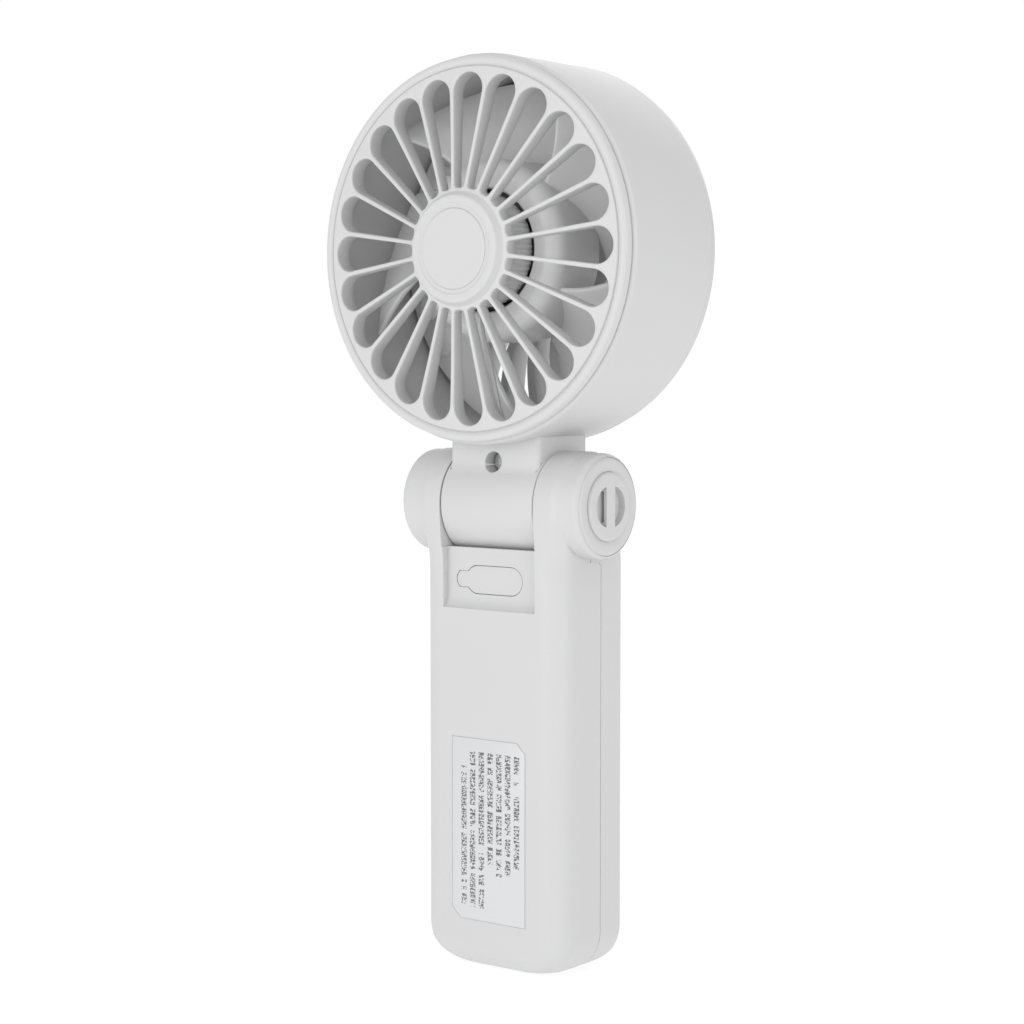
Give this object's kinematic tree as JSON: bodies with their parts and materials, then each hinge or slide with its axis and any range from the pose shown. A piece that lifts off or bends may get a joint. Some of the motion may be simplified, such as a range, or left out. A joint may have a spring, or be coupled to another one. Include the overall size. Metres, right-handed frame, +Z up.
{
  "type": "handheld electric fan",
  "caption": "Folding handheld fan: a battery handle with a button, port cover and lanyard eyelet, a friction hinge, and a round caged head whose impeller spins.",
  "frame": {"origin": "centre of the flat foot at the bottom end of the handle", "axes": "+Z up from the handle to the head, +Y the side the air blows out of, -Y the back with the charging port, +X along the hinge axis towards the lanyard eyelet"},
  "size_m": [0.09, 0.0479, 0.2152],
  "materials": {
    "shell_plastic": "moulded, fine satin texture",
    "impeller_plastic": "moulded, smooth",
    "silicone": "matt",
    "label_film": "smooth printed film",
    "clear_plastic": "milky, polished",
    "steel": "plain",
    "brass": "turned",
    "copper_winding": "enamelled winding",
    "magnet": "sintered ferrite",
    "board": "solder mask",
    "black_plastic": "moulded",
    "acetal": "smooth",
    "cell_sleeve": "shrink sleeve over the can",
    "foam": "closed-cell foam",
    "red_wire": "insulated",
    "black_wire": "insulated"
  },
  "bodies": {
    "handle": {"rear_shell": "shell_plastic", "front_shell": "shell_plastic", "rating_label": "label_film", "indicator_window": "clear_plastic", "circuit_board": "board", "usb_socket": "steel", "tact_switch": "black_plastic", "control_chip": "black_plastic", "charge_coil": "black_plastic", "board_screw_1": "steel", "board_screw_2": "steel", "battery_cell": "cell_sleeve", "battery_tab_plus": "steel", "battery_tab_minus": "steel", "battery_pad_1": "foam", "battery_pad_2": "foam", "battery_lead_plus": "red_wire", "battery_lead_minus": "black_wire", "motor_lead_handle": "black_wire", "hinge_axle": "steel", "spring_washer": "steel", "friction_disc": "acetal", "axle_clip_right": "steel", "axle_clip_left": "steel", "hinge_cap_left": "shell_plastic", "hinge_cap_right": "shell_plastic", "lanyard_eyelet": "shell_plastic"},
    "head": {"head_shell": "shell_plastic", "neck_screw": "steel", "rear_grille": "shell_plastic", "front_grille": "shell_plastic", "rear_boss_disc": "shell_plastic", "front_boss_disc": "shell_plastic", "motor_base": "brass", "motor_screw_1": "steel", "motor_screw_2": "steel", "motor_screw_3": "steel", "motor_board": "board", "motor_bearing_rear": "brass", "motor_bearing_front": "brass", "motor_stator": "copper_winding", "motor_lead_head": "black_wire", "friction_ring": "acetal", "hinge_bush_left": "brass", "hinge_bush_right": "brass"},
    "impeller": {"impeller": "impeller_plastic", "rotor_can": "steel", "rotor_magnet": "magnet", "motor_shaft": "steel"},
    "port_cover": {"port_cover": "silicone"},
    "power_button": {"power_button": "shell_plastic"}
  },
  "joints": [
    {"name": "head_fold", "type": "hinge", "parent": "handle", "child": "head", "pos_m": [0, -0.0019, 0.111], "axis": [-1, 0, 0], "range_deg": [-70, 90]},
    {"name": "impeller_spin", "type": "hinge", "parent": "head", "child": "impeller", "pos_m": [0, -0.0019, 0.1702], "axis": [0, 1, 0], "continuous": true},
    {"name": "button_press", "type": "slide", "parent": "handle", "child": "power_button", "axis": [0, -1, 0], "range_m": [0, 0.0006], "stiffness_N_per_m": 250},
    {"name": "cover_open", "type": "hinge", "parent": "handle", "child": "port_cover", "pos_m": [0.0092, -0.01175, 0.0931], "axis": [0, 0, 1], "range_deg": [0, 110]}
  ]
}
